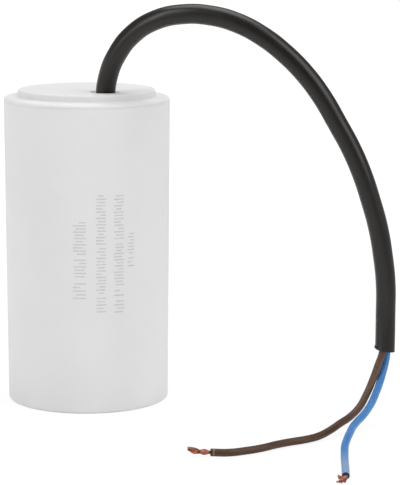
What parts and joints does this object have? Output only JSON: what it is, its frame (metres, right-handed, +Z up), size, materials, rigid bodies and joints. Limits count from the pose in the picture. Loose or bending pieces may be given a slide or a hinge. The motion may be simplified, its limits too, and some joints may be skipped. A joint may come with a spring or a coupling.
{
  "type": "motor start capacitor",
  "caption": "Motor capacitor in a drafted plastic can with a stepped snap-in lid and a flexible cable that splits into stripped brown and blue leads.",
  "frame": {"origin": "centre of the can's foot, on the plane that it stands on", "axes": "+Z up along the can's axis, -Y towards the side that the leads come forward on, +X towards the side that the cable arcs over to"},
  "size_m": [0.14, 0.1489, 0.1457],
  "materials": {
    "can_plastic": "satin",
    "lid_plastic": "satin",
    "metallised_film": "gloss",
    "tube_plastic": "satin",
    "wrap_film": "gloss",
    "sprayed_zinc": "rough",
    "solder": "satin",
    "resin": "satin",
    "black_sheath": "satin",
    "brown_insulation": "satin",
    "blue_insulation": "satin",
    "bare_copper": "satin"
  },
  "bodies": {
    "root": {"can": "can_plastic", "lid": "lid_plastic", "film_winding": "metallised_film", "winding_core": "tube_plastic", "winding_wrap": "wrap_film", "upper_end_spray": "sprayed_zinc", "lower_end_spray": "sprayed_zinc", "upper_solder_joint": "solder", "lower_solder_joint": "solder", "brown_tail": "brown_insulation", "blue_tail": "blue_insulation", "potting_resin": "resin", "cable_sheath": "black_sheath", "brown_core": "brown_insulation", "blue_core": "blue_insulation", "brown_strands": "bare_copper", "blue_strands": "bare_copper"}
  },
  "joints": []
}
